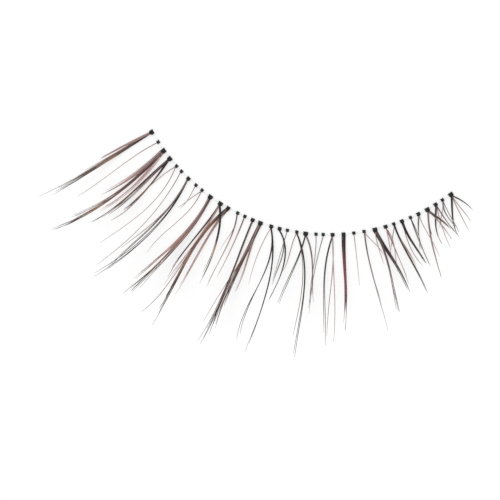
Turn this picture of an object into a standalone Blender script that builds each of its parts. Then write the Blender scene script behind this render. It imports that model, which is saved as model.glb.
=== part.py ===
"""A false eyelash strip: a clear thread with thirty-seven locks of hair knotted round it.

The frame is in metres with +Z up. The thread lies along an arc in plan, which is symmetric about the YZ
plane and opens towards +Y. The lashes spread towards -Y and curl upwards. The outer corner of the eye is at
-X and the inner corner at +X. The knots rest on the plane z = 0, and the origin is under the middle knot.
"""

import math
from typing import NamedTuple

import bmesh
import bpy
from mathutils import Matrix, Vector

# The thread
BAND_LENGTH = 0.0320
BAND_TURN = math.radians(97.0)
BAND_TAIL = 0.0003
THREAD_DIAMETER = 0.00014
THREAD_STEPS = 72

# The knots round the thread: a thin wall behind and under it, thicker walls in front and on top
KNOT_CLEARANCE = 0.00002
KNOT_LENGTH = 0.00050
KNOT_WALL = 0.00006
KNOT_FRONT_WALL = 0.00022
KNOT_TOP_WALL = 0.00016
KNOT_FLAT_CUT = 0.00005
KNOT_SEGMENTS = 10
KNOT_RINGS = 6
HOLE_SIDES = 8

# The lashes
LASH_LENGTH = 0.0126
STRAND_WIDTH = 0.00030
STRAND_THICKNESS = 0.00009
ROOT_DEPTH_SHARE = 0.4
TIP_SHARE = 0.22
TAPER_POWER = 0.7
ROOT_SPACING = 0.00003
STRAND_STEP = 0.0017
FEWEST_STRAND_STEPS = 3

# The curl: the lashes dip almost to the table in front of the thread and then bend upwards
BELLY_DISTANCE = 0.0024
BELLY_CLEARANCE = 0.00001
CURL_RADIUS = 0.0120

# The weave: where two lashes cross, the one rooted nearer to the outer corner lies over the other by this
# gap. A lash that leans outwards by the sweep, a share of its reach, keeps the curl's height. Others rise
# above it or dip below it.
WEAVE_GAP = 0.00001
OUTER_SWEEP_SHARE = 0.10
INNER_SWEEP_SHARE = 0.70

BAND_RADIUS = BAND_LENGTH / BAND_TURN
BAND_CENTRE = Vector((0.0, BAND_RADIUS))
HOLE_RADIUS = THREAD_DIAMETER / 2 + KNOT_CLEARANCE
THREAD_HEIGHT = HOLE_RADIUS + KNOT_WALL
BELLY_HEIGHT = STRAND_THICKNESS / 2 + BELLY_CLEARANCE


class KnotSize(NamedTuple):
    """Size of a knot, as shares of the largest one's length, front wall and top wall."""

    length: float
    front: float
    top: float


BIG = KnotSize(1.00, 1.00, 1.00)
MEDIUM = KnotSize(0.84, 0.70, 0.72)
SMALL = KnotSize(0.70, 0.40, 0.45)


class Strand(NamedTuple):
    """Hairs that leave a knot together and end in one tip.

    Attributes:
        root: direction beside the knot, in degrees from straight out of the thread, positive towards the
            outer corner.
        middle: direction half way along.
        tip: direction at the tip.
        reach: length seen from above, as a share of LASH_LENGTH.
        width: width at the root, as a share of STRAND_WIDTH.
    """

    root: float
    middle: float
    tip: float
    reach: float
    width: float

    def heading(self, share):
        """Return the direction at a share of the length, in radians."""
        bend = 2 * (self.root + self.tip) - 4 * self.middle
        return math.radians(self.root + (self.tip - self.root - bend) * share + bend * share**2)


class Lock(NamedTuple):
    """One knot with its hairs.

    Attributes:
        place: where the knot sits along the thread, from 0 at the outer corner to 1 at the inner one.
        knot: size of the knot.
        tone: name of the hair's colour.
        strands: the hairs that leave the knot.
    """

    place: float
    knot: KnotSize
    tone: str
    strands: tuple


HAIR_TONES = {
    "black": (0.020, 0.018, 0.018),
    "brown": (0.090, 0.050, 0.030),
    "auburn": (0.160, 0.070, 0.040),
    "plum": (0.110, 0.035, 0.045),
    "fawn": (0.420, 0.300, 0.260),
    "grey": (0.260, 0.250, 0.250),
}

LOCKS = (
    Lock(0.000, BIG, "brown", (Strand(-3, -3, -3, 0.92, 1.3), Strand(3, -1, -1, 0.62, 1.2))),
    Lock(0.034, SMALL, "fawn", (Strand(8, -5, 0, 0.70, 0.4),)),
    Lock(
        0.064,
        BIG,
        "auburn",
        (
            Strand(-11, -2, 14, 0.98, 1.3),
            Strand(-6, 0, 8, 0.55, 1.2),
            Strand(-21, -8, 6, 0.64, 1.2),
        ),
    ),
    Lock(
        0.093,
        BIG,
        "brown",
        (
            Strand(-18, -11, 0, 0.50, 1.0),
            Strand(-15, -11, 11, 0.62, 0.6),
            Strand(-1, -4, 8, 0.73, 1.0),
            Strand(-3, -6, 6, 0.60, 1.0),
        ),
    ),
    Lock(0.122, SMALL, "fawn", (Strand(-28, -2, 5, 0.79, 0.5), Strand(15, 3, 2, 0.30, 0.4))),
    Lock(0.143, SMALL, "fawn", (Strand(-20, -4, 4, 0.91, 0.5),)),
    Lock(0.172, MEDIUM, "black", (Strand(-20, 1, 13, 0.98, 0.8), Strand(-17, 1, 0, 0.86, 0.8))),
    Lock(0.201, SMALL, "fawn", (Strand(-14, -8, 8, 0.20, 0.4),)),
    Lock(0.224, SMALL, "fawn", (Strand(-18, 10, -8, 0.60, 0.5), Strand(22, 14, 16, 0.21, 0.4))),
    Lock(
        0.255,
        BIG,
        "auburn",
        (Strand(-11, 6, 5, 0.89, 1.2), Strand(-10, 10, 11, 0.81, 1.0), Strand(-9, 7, 13, 0.93, 0.5)),
    ),
    Lock(0.290, BIG, "black", (Strand(1, 6, -6, 0.65, 0.8), Strand(-40, -15, -3, 0.60, 0.9))),
    Lock(
        0.316,
        MEDIUM,
        "auburn",
        (
            Strand(25, 0, 0, 1.00, 1.3),
            Strand(12, -1, 5, 0.73, 0.9),
        ),
    ),
    Lock(0.347, SMALL, "fawn", (Strand(-30, 6, -3, 0.30, 0.5), Strand(-20, 1, -5, 0.58, 0.4))),
    Lock(0.370, SMALL, "fawn", (Strand(-4, 0, 4, 0.48, 0.4),)),
    Lock(0.395, MEDIUM, "black", (Strand(1, 0, 10, 0.96, 0.9), Strand(0, 0, 6, 0.84, 0.8))),
    Lock(
        0.419,
        BIG,
        "brown",
        (
            Strand(5, 7, -4, 0.82, 1.3),
            Strand(8, -4, 10, 0.53, 0.9),
            Strand(5, 13, 11, 0.82, 0.5),
            Strand(6, 7, 2, 0.88, 0.8),
        ),
    ),
    Lock(
        0.452,
        MEDIUM,
        "black",
        (Strand(16, 5, -1, 0.45, 0.6), Strand(-30, 10, -12, 0.86, 0.7), Strand(-27, -2, 5, 0.93, 0.7)),
    ),
    Lock(0.477, MEDIUM, "black", (Strand(-50, 2, -1, 0.42, 0.6), Strand(-48, 1, 13, 0.55, 0.7))),
    Lock(0.500, SMALL, "grey", (Strand(6, 4, 2, 0.38, 0.4),)),
    Lock(0.528, SMALL, "black", (Strand(19, 6, 24, 0.30, 0.5), Strand(-33, -3, -1, 0.91, 0.8))),
    Lock(
        0.554,
        BIG,
        "black",
        (Strand(6, 18, 13, 0.54, 0.8), Strand(-34, -8, -14, 0.50, 0.8), Strand(-30, -6, 0, 0.58, 0.6)),
    ),
    Lock(0.584, SMALL, "grey", (Strand(-6, 5, -6, 0.52, 0.4),)),
    Lock(0.605, SMALL, "grey", (Strand(15, 10, 8, 0.54, 0.4),)),
    Lock(
        0.632,
        MEDIUM,
        "black",
        (Strand(22, 2, 4, 0.80, 0.7), Strand(-4, 7, 4, 0.73, 0.4), Strand(1, -1, 8, 0.77, 0.4)),
    ),
    Lock(0.664, MEDIUM, "plum", (Strand(5, 2, 12, 0.61, 1.1), Strand(2, 4, 14, 0.72, 0.6))),
    Lock(0.694, SMALL, "fawn", (Strand(0, 2, 4, 0.38, 0.4),)),
    Lock(0.724, SMALL, "grey", (Strand(9, -6, 8, 0.74, 0.5),)),
    Lock(
        0.756,
        BIG,
        "black",
        (Strand(-19, 0, 1, 0.62, 0.9), Strand(-19, -14, 0, 0.51, 1.0), Strand(10, -4, 0, 0.25, 0.4)),
    ),
    Lock(0.788, MEDIUM, "black", (Strand(-26, 8, 7, 0.34, 0.5), Strand(-8, -6, -2, 0.44, 0.6))),
    Lock(0.813, SMALL, "black", (Strand(0, -10, 0, 0.55, 0.7), Strand(26, 26, 26, 0.18, 0.4))),
    Lock(0.838, MEDIUM, "black", (Strand(5, -8, -14, 0.37, 0.9), Strand(9, -3, -24, 0.36, 0.5))),
    Lock(0.865, SMALL, "grey", (Strand(-1, 3, 25, 0.24, 0.4), Strand(5, 2, 0, 0.38, 0.5))),
    Lock(0.890, MEDIUM, "grey", (Strand(36, 17, 34, 0.27, 0.5),)),
    Lock(0.919, BIG, "black", (Strand(30, 10, 18, 0.50, 0.7), Strand(-9, -24, 10, 0.20, 0.8))),
    Lock(0.947, MEDIUM, "black", (Strand(33, 26, -16, 0.31, 0.6), Strand(0, -4, -16, 0.27, 0.5))),
    Lock(0.971, SMALL, "grey", (Strand(30, 44, 34, 0.22, 0.4), Strand(14, 4, 8, 0.26, 0.4))),
    Lock(
        1.000,
        BIG,
        "black",
        (Strand(-32, -19, 0, 0.19, 0.6), Strand(33, 32, 2, 0.31, 0.7), Strand(16, 10, 11, 0.29, 0.5)),
    ),
)


CLOSEST_KNOTS = min(after.place - before.place for before, after in zip(LOCKS, LOCKS[1:])) * BAND_LENGTH
WEAVE_RISE = (STRAND_THICKNESS + WEAVE_GAP) / CLOSEST_KNOTS


def clear_scene():
    """Remove every object that the scene starts with."""
    for existing in list(bpy.data.objects):
        bpy.data.objects.remove(existing, do_unlink=True)


def new_collection(name):
    """Return a new collection that hangs in the scene."""
    collection = bpy.data.collections.new(name)
    bpy.context.scene.collection.children.link(collection)
    return collection


def finish(name, colour, roughness, alpha=1.0):
    """Return a plain material with one colour and one roughness."""
    material = bpy.data.materials.new(name)
    material.use_nodes = True
    shader = material.node_tree.nodes["Principled BSDF"]
    shader.inputs["Base Color"].default_value = (*colour, 1.0)
    shader.inputs["Roughness"].default_value = roughness
    shader.inputs["Metallic"].default_value = 0.0
    shader.inputs["Alpha"].default_value = alpha
    return material


def band_angle(place):
    """Return the angle round the band's centre at a share of the thread, 0 at its middle."""
    return (place - 0.5) * BAND_TURN


def band_point(angle):
    """Return the plan position of the thread's centre line at an angle."""
    return BAND_CENTRE + BAND_RADIUS * Vector((math.sin(angle), -math.cos(angle)))


def knot_frame(angle):
    """Return the frame of a knot on the table: X along the thread, Y towards the concave side, Z up."""
    place = Matrix.Translation(band_point(angle).to_3d())
    return place @ Matrix.Rotation(angle, 4, "Z")


def tube_object(name, points, radii, profile, collection):
    """Return a closed mesh tube along points.

    Args:
        name: name of the object.
        points: centre line from end to end.
        radii: scale of the section at each point.
        profile: closed flat curve object that is the section.
        collection: collection that the tube goes in.
    """
    curve = bpy.data.curves.new(name, "CURVE")
    curve.dimensions = "3D"
    curve.twist_mode = "Z_UP"
    curve.bevel_mode = "OBJECT"
    curve.bevel_object = profile
    curve.use_fill_caps = True
    spline = curve.splines.new("POLY")
    spline.points.add(len(points) - 1)
    for control, point, radius in zip(spline.points, points, radii):
        control.co = (*point, 1.0)
        control.radius = radius
    guide = bpy.data.objects.new(name + "_guide", curve)
    collection.objects.link(guide)
    tube = as_mesh(guide, name, collection)
    weld_caps(tube.data)
    bpy.data.objects.remove(guide, do_unlink=True)
    bpy.data.curves.remove(curve)
    return tube


def as_mesh(source, name, collection):
    """Return a new object that holds a source object's evaluated mesh."""
    depsgraph = bpy.context.evaluated_depsgraph_get()
    mesh = bpy.data.meshes.new_from_object(source.evaluated_get(depsgraph), depsgraph=depsgraph)
    mesh.name = name
    result = bpy.data.objects.new(name, mesh)
    result.matrix_world = source.matrix_world.copy()
    collection.objects.link(result)
    return result


def weld_caps(mesh):
    """Join a tube's loose end caps to its wall."""
    shape = bmesh.new()
    shape.from_mesh(mesh)
    bmesh.ops.remove_doubles(shape, verts=shape.verts, dist=THREAD_DIAMETER / 100)
    bmesh.ops.recalc_face_normals(shape, faces=shape.faces)
    shape.to_mesh(mesh)
    shape.free()


def section_curve(name, width, thickness, sides, collection):
    """Return a closed flat curve, an ellipse with a few sides, to sweep along a route."""
    curve = bpy.data.curves.new(name, "CURVE")
    curve.dimensions = "2D"
    spline = curve.splines.new("POLY")
    spline.points.add(sides - 1)
    for side, control in enumerate(spline.points):
        turn = 2 * math.pi * side / sides
        control.co = (math.cos(turn) * width / 2, math.sin(turn) * thickness / 2, 0.0, 1.0)
    spline.use_cyclic_u = True
    section = bpy.data.objects.new(name, curve)
    collection.objects.link(section)
    return section


def build_band(parts, tools):
    """Build the clear thread, which runs through every knot."""
    tail = BAND_TAIL / BAND_RADIUS
    first = band_angle(0.0) - tail
    step = (BAND_TURN + 2 * tail) / THREAD_STEPS
    route = [band_point(first + step * index).to_3d() for index in range(THREAD_STEPS + 1)]
    for point in route:
        point.z = THREAD_HEIGHT
    section = section_curve("thread_section", THREAD_DIAMETER, THREAD_DIAMETER, 6, tools)
    band = tube_object("band", route, [1.0] * len(route), section, parts)
    band.data.materials.append(finish("clear_thread", (0.86, 0.87, 0.88), 0.18, alpha=0.45))
    band.data.shade_smooth()


def sheet_height(out):
    """Return the height of the curled sheet that the lashes lie in, at a distance out from the thread."""
    if out < BELLY_DISTANCE:
        return BELLY_HEIGHT + (THREAD_HEIGHT - BELLY_HEIGHT) * (1 - out / BELLY_DISTANCE) ** 2
    run = out - BELLY_DISTANCE
    return BELLY_HEIGHT + run**2 / (2 * CURL_RADIUS) + run**4 / (8 * CURL_RADIUS**3)


def lash_height(plan, root_angle):
    """Return the height of a lash over a plan position, for a lash that is rooted at an angle."""
    arm = plan - BAND_CENTRE
    angle = math.atan2(arm.x, -arm.y)
    out = arm.length - BAND_RADIUS
    share = angle / BAND_TURN + 0.5
    sweep = OUTER_SWEEP_SHARE + (INNER_SWEEP_SHARE - OUTER_SWEEP_SHARE) * share
    along = BAND_RADIUS * (angle - root_angle)
    return sheet_height(out) + WEAVE_RISE * (along + sweep * out)


def strand_route(lock, strand, side):
    """Return the centre line of one strand, from inside its knot to its tip.

    Args:
        lock: the lock that the strand belongs to.
        strand: what the chart says of it.
        side: its place across the knot, in strands from the middle one.
    """
    angle = band_angle(lock.place)
    along_band = Vector((math.cos(angle), math.sin(angle)))
    outwards = Vector((math.sin(angle), -math.cos(angle)))
    root_out = HOLE_RADIUS + ROOT_DEPTH_SHARE * KNOT_FRONT_WALL * lock.knot.front
    plan = band_point(angle) + outwards * root_out
    plan -= along_band * side * ROOT_SPACING
    reach = strand.reach * LASH_LENGTH
    steps = max(FEWEST_STRAND_STEPS, round(reach / STRAND_STEP))
    route = [plan.copy()]
    for step in range(steps):
        heading = strand.heading((step + 0.5) / steps)
        plan += (outwards * math.cos(heading) - along_band * math.sin(heading)) * reach / steps
        route.append(plan.copy())
    return [Vector((point.x, point.y, lash_height(point, angle))) for point in route]


def build_strand(name, lock, index, tools):
    """Build one tapered strand of a lock."""
    strand = lock.strands[index]
    route = strand_route(lock, strand, (len(lock.strands) - 1) / 2 - index)
    shares = [step / (len(route) - 1) for step in range(len(route))]
    radii = [TIP_SHARE + (1 - TIP_SHARE) * (1 - share) ** TAPER_POWER for share in shares]
    section = section_curve(name + "_section", STRAND_WIDTH * strand.width, STRAND_THICKNESS, 4, tools)
    tube = tube_object(name, route, radii, section, tools)
    bpy.data.objects.remove(section, do_unlink=True)
    return tube


def build_bead(name, lock, tools):
    """Build a knot's bead, before it is bored and cut flat."""
    length = KNOT_LENGTH * lock.knot.length
    depth = 2 * HOLE_RADIUS + KNOT_WALL + KNOT_FRONT_WALL * lock.knot.front
    height = 2 * HOLE_RADIUS + KNOT_WALL + KNOT_TOP_WALL * lock.knot.top
    shape = bmesh.new()
    bmesh.ops.create_uvsphere(shape, u_segments=KNOT_SEGMENTS, v_segments=KNOT_RINGS, radius=0.5)
    bmesh.ops.scale(shape, verts=shape.verts, vec=(length, depth, height + KNOT_FLAT_CUT))
    middle = (0.0, HOLE_RADIUS + KNOT_WALL - depth / 2, (height - KNOT_FLAT_CUT) / 2)
    bmesh.ops.translate(shape, verts=shape.verts, vec=middle)
    bmesh.ops.transform(shape, verts=shape.verts, matrix=knot_frame(band_angle(lock.place)))
    mesh = bpy.data.meshes.new(name)
    shape.to_mesh(mesh)
    shape.free()
    bead = bpy.data.objects.new(name, mesh)
    tools.objects.link(bead)
    return bead


def build_hole_cutter(name, lock, tools):
    """Build the rod that clears the thread's way through a knot."""
    shape = bmesh.new()
    radius = HOLE_RADIUS / math.cos(math.pi / HOLE_SIDES)
    bmesh.ops.create_cone(
        shape, cap_ends=True, segments=HOLE_SIDES, radius1=radius, radius2=radius, depth=2 * KNOT_LENGTH
    )
    bmesh.ops.rotate(shape, verts=shape.verts, matrix=Matrix.Rotation(math.pi / 2, 3, "Y"))
    bmesh.ops.translate(shape, verts=shape.verts, vec=(0.0, 0.0, THREAD_HEIGHT))
    bmesh.ops.transform(shape, verts=shape.verts, matrix=knot_frame(band_angle(lock.place)))
    return cutter_object(name, shape, tools)


def build_table_cutter(tools):
    """Build the slab that cuts every knot flat where it rests."""
    size = 2 * BAND_LENGTH
    depth = 2 * KNOT_FLAT_CUT
    shape = bmesh.new()
    bmesh.ops.create_cube(shape, size=1.0)
    bmesh.ops.scale(shape, verts=shape.verts, vec=(size, size, depth))
    bmesh.ops.translate(shape, verts=shape.verts, vec=(0.0, 0.0, -depth / 2))
    return cutter_object("table_cutter", shape, tools)


def cutter_object(name, shape, tools):
    """Return an object that only cuts, made from a bmesh."""
    mesh = bpy.data.meshes.new(name)
    shape.to_mesh(mesh)
    shape.free()
    cutter = bpy.data.objects.new(name, mesh)
    cutter.hide_render = True
    cutter.display_type = "WIRE"
    tools.objects.link(cutter)
    return cutter


def add_boolean(target, tool, operation):
    """Add one Boolean modifier to an object."""
    modifier = target.modifiers.new(tool.name, "BOOLEAN")
    modifier.operation = operation
    modifier.solver = "EXACT"
    modifier.object = tool


def build_lock(number, lock, table, parts, tools):
    """Build one lock: its strands fused to the bead, which is then bored and cut flat."""
    name = f"lash_lock_{number:02d}"
    bead = build_bead(name + "_bead", lock, tools)
    strands = [build_strand(f"{name}_strand_{index}", lock, index, tools) for index in range(len(lock.strands))]
    for strand in strands:
        add_boolean(bead, strand, "UNION")
    hole = build_hole_cutter(name + "_hole", lock, tools)
    add_boolean(bead, hole, "DIFFERENCE")
    add_boolean(bead, table, "DIFFERENCE")
    result = as_mesh(bead, name, parts)
    result.data.materials.clear()
    result.data.materials.append(finish(name + "_hair", HAIR_TONES[lock.tone], 0.45))
    result.data.shade_smooth()
    result.data.set_sharp_from_angle(angle=math.radians(50))
    for used in [bead, hole, *strands]:
        bpy.data.objects.remove(used, do_unlink=True)


def main():
    """Build the whole strip."""
    clear_scene()
    parts = new_collection("false_eyelash_strip")
    tools = new_collection("cutters")
    build_band(parts, tools)
    table = build_table_cutter(tools)
    for number, lock in enumerate(LOCKS, start=1):
        build_lock(number, lock, table, parts, tools)
    for tool in list(tools.objects):
        bpy.data.objects.remove(tool, do_unlink=True)


main()
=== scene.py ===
"""The looks of a false eyelash strip: fine hair in locks, knotted on a clear thread.

Everything is in metres. The thread lies along an arc in plan that is symmetric about the YZ plane,
with its knots on a white table at z = 0. The lashes spread towards -Y and curl upwards. The outer
corner of the eye is at -X.
"""

import logging
import math
from dataclasses import dataclass
from enum import Enum

import bmesh
import bpy
from mathutils import Matrix, Vector


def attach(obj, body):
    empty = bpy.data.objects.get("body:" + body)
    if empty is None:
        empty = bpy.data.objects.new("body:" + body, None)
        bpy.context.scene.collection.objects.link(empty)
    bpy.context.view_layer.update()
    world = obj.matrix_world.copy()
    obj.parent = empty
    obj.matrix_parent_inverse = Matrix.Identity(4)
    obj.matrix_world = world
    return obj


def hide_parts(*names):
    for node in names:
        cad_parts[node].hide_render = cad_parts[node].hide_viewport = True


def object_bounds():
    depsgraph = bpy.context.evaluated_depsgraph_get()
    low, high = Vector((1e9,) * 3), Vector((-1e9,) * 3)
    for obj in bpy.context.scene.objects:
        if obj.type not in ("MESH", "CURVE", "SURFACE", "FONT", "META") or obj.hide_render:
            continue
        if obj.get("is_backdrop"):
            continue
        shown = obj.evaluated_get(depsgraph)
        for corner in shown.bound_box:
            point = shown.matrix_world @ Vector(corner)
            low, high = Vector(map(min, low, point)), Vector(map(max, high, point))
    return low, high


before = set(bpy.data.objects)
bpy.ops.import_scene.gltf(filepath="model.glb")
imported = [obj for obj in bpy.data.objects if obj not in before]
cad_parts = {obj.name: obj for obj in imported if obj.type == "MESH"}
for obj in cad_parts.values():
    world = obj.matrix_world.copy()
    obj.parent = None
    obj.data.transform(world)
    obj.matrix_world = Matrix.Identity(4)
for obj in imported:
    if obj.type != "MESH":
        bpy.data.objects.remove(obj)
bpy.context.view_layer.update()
BODY = "root"
LOG = logging.getLogger("eyelash_strip")

Colour = tuple[float, float, float]
WHITE = (1.0, 1.0, 1.0, 1.0)


class Signal:
    """A value that leaves a socket, on which Python arithmetic adds Math nodes."""

    def __init__(self, graph: "Graph", socket: bpy.types.NodeSocket) -> None:
        """Keep the socket and the graph that it belongs to."""
        self.graph = graph
        self.socket = socket

    def output(self, name: str) -> "Signal":
        """Return another output of the same node."""
        return Signal(self.graph, self.graph.pick(self.socket.node.outputs, name))

    def part(self, axis: str) -> "Signal":
        """Return the X, Y or Z part of a vector."""
        return self.graph.node("ShaderNodeSeparateXYZ", inputs={0: self}).output(axis)

    def math(self, operation: str, *others: "Signal | float") -> "Signal":
        """Return what a Math node makes of this value and others."""
        values = dict(enumerate((self, *others)))
        return self.graph.node("ShaderNodeMath", {"operation": operation}, values)

    def limited(self) -> "Signal":
        """Return this value kept between 0 and 1."""
        return self.math("MINIMUM", 1.0).math("MAXIMUM", 0.0)

    def vector_math(self, operation: str, *others: "Signal | Vector") -> "Signal":
        """Return what a Vector Math node makes of this vector and others."""
        values = dict(enumerate((self, *others)))
        return self.graph.node("ShaderNodeVectorMath", {"operation": operation}, values)

    def scaled(self, factor: "Signal | float") -> "Signal":
        """Return this vector times a number."""
        inputs = {0: self, "Scale": factor}
        return self.graph.node("ShaderNodeVectorMath", {"operation": "SCALE"}, inputs)

    def __add__(self, other: "Signal | float") -> "Signal":
        """Return self + other."""
        return self.math("ADD", other)

    def __radd__(self, other: float) -> "Signal":
        """Return other + self."""
        return self.math("ADD", other)

    def __sub__(self, other: "Signal | float") -> "Signal":
        """Return self - other."""
        return self.math("SUBTRACT", other)

    def __rsub__(self, other: float) -> "Signal":
        """Return other - self."""
        return self.graph.node("ShaderNodeMath", {"operation": "SUBTRACT"}, {0: other, 1: self})

    def __mul__(self, other: "Signal | float") -> "Signal":
        """Return self * other."""
        return self.math("MULTIPLY", other)

    def __rmul__(self, other: float) -> "Signal":
        """Return other * self."""
        return self.math("MULTIPLY", other)

    def __truediv__(self, other: "Signal | float") -> "Signal":
        """Return self / other."""
        return self.math("DIVIDE", other)

    def __pow__(self, power: float) -> "Signal":
        """Return self to a power."""
        return self.math("POWER", power)


class Graph:
    """A node tree, with one method that adds any node."""

    def __init__(self, tree: bpy.types.NodeTree) -> None:
        """Keep the tree that the nodes go in."""
        self.tree = tree

    @staticmethod
    def pick(sockets: bpy.types.bpy_prop_collection, key: int | str) -> bpy.types.NodeSocket:
        """Return a socket by its number, or the one in use by its name.

        Args:
            sockets: the inputs or the outputs of a node.
            key: number or name of the socket.

        Returns:
            The socket.
        """
        if isinstance(key, int):
            return sockets[key]
        return next(socket for socket in sockets if socket.name == key and socket.enabled)

    def node(self, kind: str, settings: dict | None = None, inputs: dict | None = None) -> Signal:
        """Add a node.

        Args:
            kind: type of the node.
            settings: its settings, and the stops of its ramp, which are set first.
            inputs: values or signals of its sockets, by number or name.

        Returns:
            The node's first output in use.
        """
        node = self.tree.nodes.new(kind)
        for name, value in (settings or {}).items():
            if name == "stops":
                self.set_stops(node.color_ramp, value)
            else:
                setattr(node, name, value)
        self.fill(node, inputs or {})
        return Signal(self, next(socket for socket in node.outputs if socket.enabled))

    def fill(self, node: bpy.types.Node, inputs: dict) -> None:
        """Give a node its inputs.

        Args:
            node: the node.
            inputs: values or signals of its sockets, by number or name.
        """
        for key, value in inputs.items():
            socket = self.pick(node.inputs, key)
            if isinstance(value, Signal):
                self.tree.links.new(value.socket, socket)
            else:
                socket.default_value = value

    @staticmethod
    def set_stops(ramp: bpy.types.ColorRamp, stops: list[tuple[float, Colour]]) -> None:
        """Give a ramp its stops.

        Args:
            ramp: the ramp, which has two stops at first.
            stops: place and colour of each stop, in order.
        """
        ramp.interpolation = "EASE"
        for _ in stops[2:]:
            ramp.elements.new(0.5)
        for element, (place, colour) in zip(ramp.elements, stops):
            element.position = place
            element.color = (*colour, 1.0)


class Recipe(Graph):
    """A geometry tree with named inputs, which turns a source mesh into a finished plain mesh."""

    def __init__(self, name: str) -> None:
        """Start the tree with its geometry in and out.

        Args:
            name: name of the tree.
        """
        super().__init__(bpy.data.node_groups.new(name, "GeometryNodeTree"))
        self.inlet = self.tree.nodes.new("NodeGroupInput")
        self.outlet = self.tree.nodes.new("NodeGroupOutput")
        self.tree.interface.new_socket("Geometry", in_out="OUTPUT", socket_type="NodeSocketGeometry")
        self.source = self.ask("Geometry", "NodeSocketGeometry")

    def ask(self, name: str, kind: str = "NodeSocketFloat") -> Signal:
        """Return the value of a named input, which the tree gets when it is first asked for.

        Args:
            name: name of the input.
            kind: type of its socket.

        Returns:
            The value.
        """
        if name not in self.inlet.outputs:
            self.tree.interface.new_socket(name, in_out="INPUT", socket_type=kind)
        return Signal(self, self.inlet.outputs[name])

    def keep(self, shape: Signal, name: str, value: Signal | float, domain: str) -> Signal:
        """Store a number under a name on each point or curve of a shape.

        Args:
            shape: the mesh or the curves.
            name: name to store under.
            value: the number.
            domain: what carries a number of its own, such as "POINT" or "CURVE".

        Returns:
            The shape with its numbers.
        """
        settings = {"data_type": "FLOAT", "domain": domain}
        inputs = {"Geometry": shape, "Name": name, "Value": value}
        return self.node("GeometryNodeStoreNamedAttribute", settings, inputs)

    def kept(self, name: str) -> Signal:
        """Return the number that is stored under a name."""
        return self.node("GeometryNodeInputNamedAttribute", {"data_type": "FLOAT"}, {"Name": name})

    def chance(self, low: float, high: float, number: Signal, seed: Signal) -> Signal:
        """Return a random number for each numbered thing.

        Args:
            low: lowest value.
            high: highest value.
            number: number of the thing, which always draws the same value.
            seed: seed of the draw.

        Returns:
            The random number.
        """
        inputs = {"Min": low, "Max": high, "ID": number, "Seed": seed}
        return self.node("FunctionNodeRandomValue", {"data_type": "FLOAT"}, inputs)

    def sweep(self, path: Signal, scale: Signal, sides: int) -> Signal:
        """Sweep a round section along curves and cap their ends.

        Args:
            path: the curves.
            scale: radius of the section at each point.
            sides: number of sides of the section.

        Returns:
            The closed tubes.
        """
        inputs = {"Resolution": sides, "Radius": 1.0}
        ring = self.node("GeometryNodeCurvePrimitiveCircle", inputs=inputs)
        inputs = {"Curve": path, "Profile Curve": ring, "Scale": scale, "Fill Caps": True}
        return self.node("GeometryNodeCurveToMesh", inputs=inputs)

    def close(self, shape: Signal) -> None:
        """End the tree: real faces, smooth, in the material that is asked for.

        Args:
            shape: the finished shape.
        """
        material = self.ask("Material", "NodeSocketMaterial")
        smooth = self.node("GeometryNodeSetShadeSmooth", inputs={"Geometry": shape})
        real = self.node("GeometryNodeRealizeInstances", inputs={"Geometry": smooth})
        inputs = {"Geometry": real, "Material": material}
        dressed = self.node("GeometryNodeSetMaterial", inputs=inputs)
        self.tree.links.new(dressed.socket, self.outlet.inputs[0])

    def make(self, source: bpy.types.Mesh, values: dict[str, object]) -> bpy.types.Mesh:
        """Run the tree once on a source mesh.

        Args:
            source: mesh that the tree starts from, which is removed.
            values: value of each named input.

        Returns:
            The plain mesh.
        """
        holder = bpy.data.objects.new(self.tree.name, source)
        bpy.context.scene.collection.objects.link(holder)
        modifier = holder.modifiers.new(self.tree.name, "NODES")
        modifier.node_group = self.tree
        for item in self.tree.interface.items_tree:
            if item.in_out == "INPUT" and item.name in values:
                modifier[item.identifier] = values[item.name]
        depsgraph = bpy.context.evaluated_depsgraph_get()
        mesh = bpy.data.meshes.new_from_object(holder.evaluated_get(depsgraph), depsgraph=depsgraph)
        holder.modifiers.remove(modifier)
        bpy.data.objects.remove(holder, do_unlink=True)
        bpy.data.meshes.remove(source)
        return mesh


class Paint(Graph):
    """A material, with the textures that the finishes share.

    Attributes:
        detail: layers of the soft noise.
        harshness: strength of each finer layer beside the one before.
    """

    detail: float = 3.0
    harshness: float = 0.55

    def __init__(self, name: str) -> None:
        """Start the material.

        Args:
            name: name of the material.
        """
        self.material = bpy.data.materials.new(name)
        self.material.use_nodes = True
        super().__init__(self.material.node_tree)
        self.place = self.node("ShaderNodeTexCoord").output("Object")

    def finish(self, inputs: dict) -> bpy.types.Material:
        """Give the shader its inputs.

        Args:
            inputs: values or signals of its sockets, by name.

        Returns:
            The finished material.
        """
        self.fill(self.tree.nodes["Principled BSDF"], inputs)
        return self.material

    def noise(self, scale: float) -> Signal:
        """Return soft noise over the object's own space, from 0 to 1."""
        layers = {"Detail": self.detail, "Roughness": self.harshness}
        return self.node("ShaderNodeTexNoise", None, {"Vector": self.place, "Scale": scale, **layers})

    def attribute(self, name: str) -> Signal:
        """Return the number that the mesh keeps under a name."""
        settings = {"attribute_type": "GEOMETRY", "attribute_name": name}
        return self.node("ShaderNodeAttribute", settings).output("Fac")

    def grey(self, value: Signal) -> Signal:
        """Return a vector with a value in each part."""
        return self.node("ShaderNodeCombineXYZ", inputs={0: value, 1: value, 2: value})

    def mix(self, share: Signal, first: Signal, second: Colour) -> Signal:
        """Return a colour turned towards another one by a share."""
        inputs = {"Factor": share, "A": first, "B": (*second, 1.0)}
        return self.node("ShaderNodeMix", {"data_type": "RGBA"}, inputs)


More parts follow.
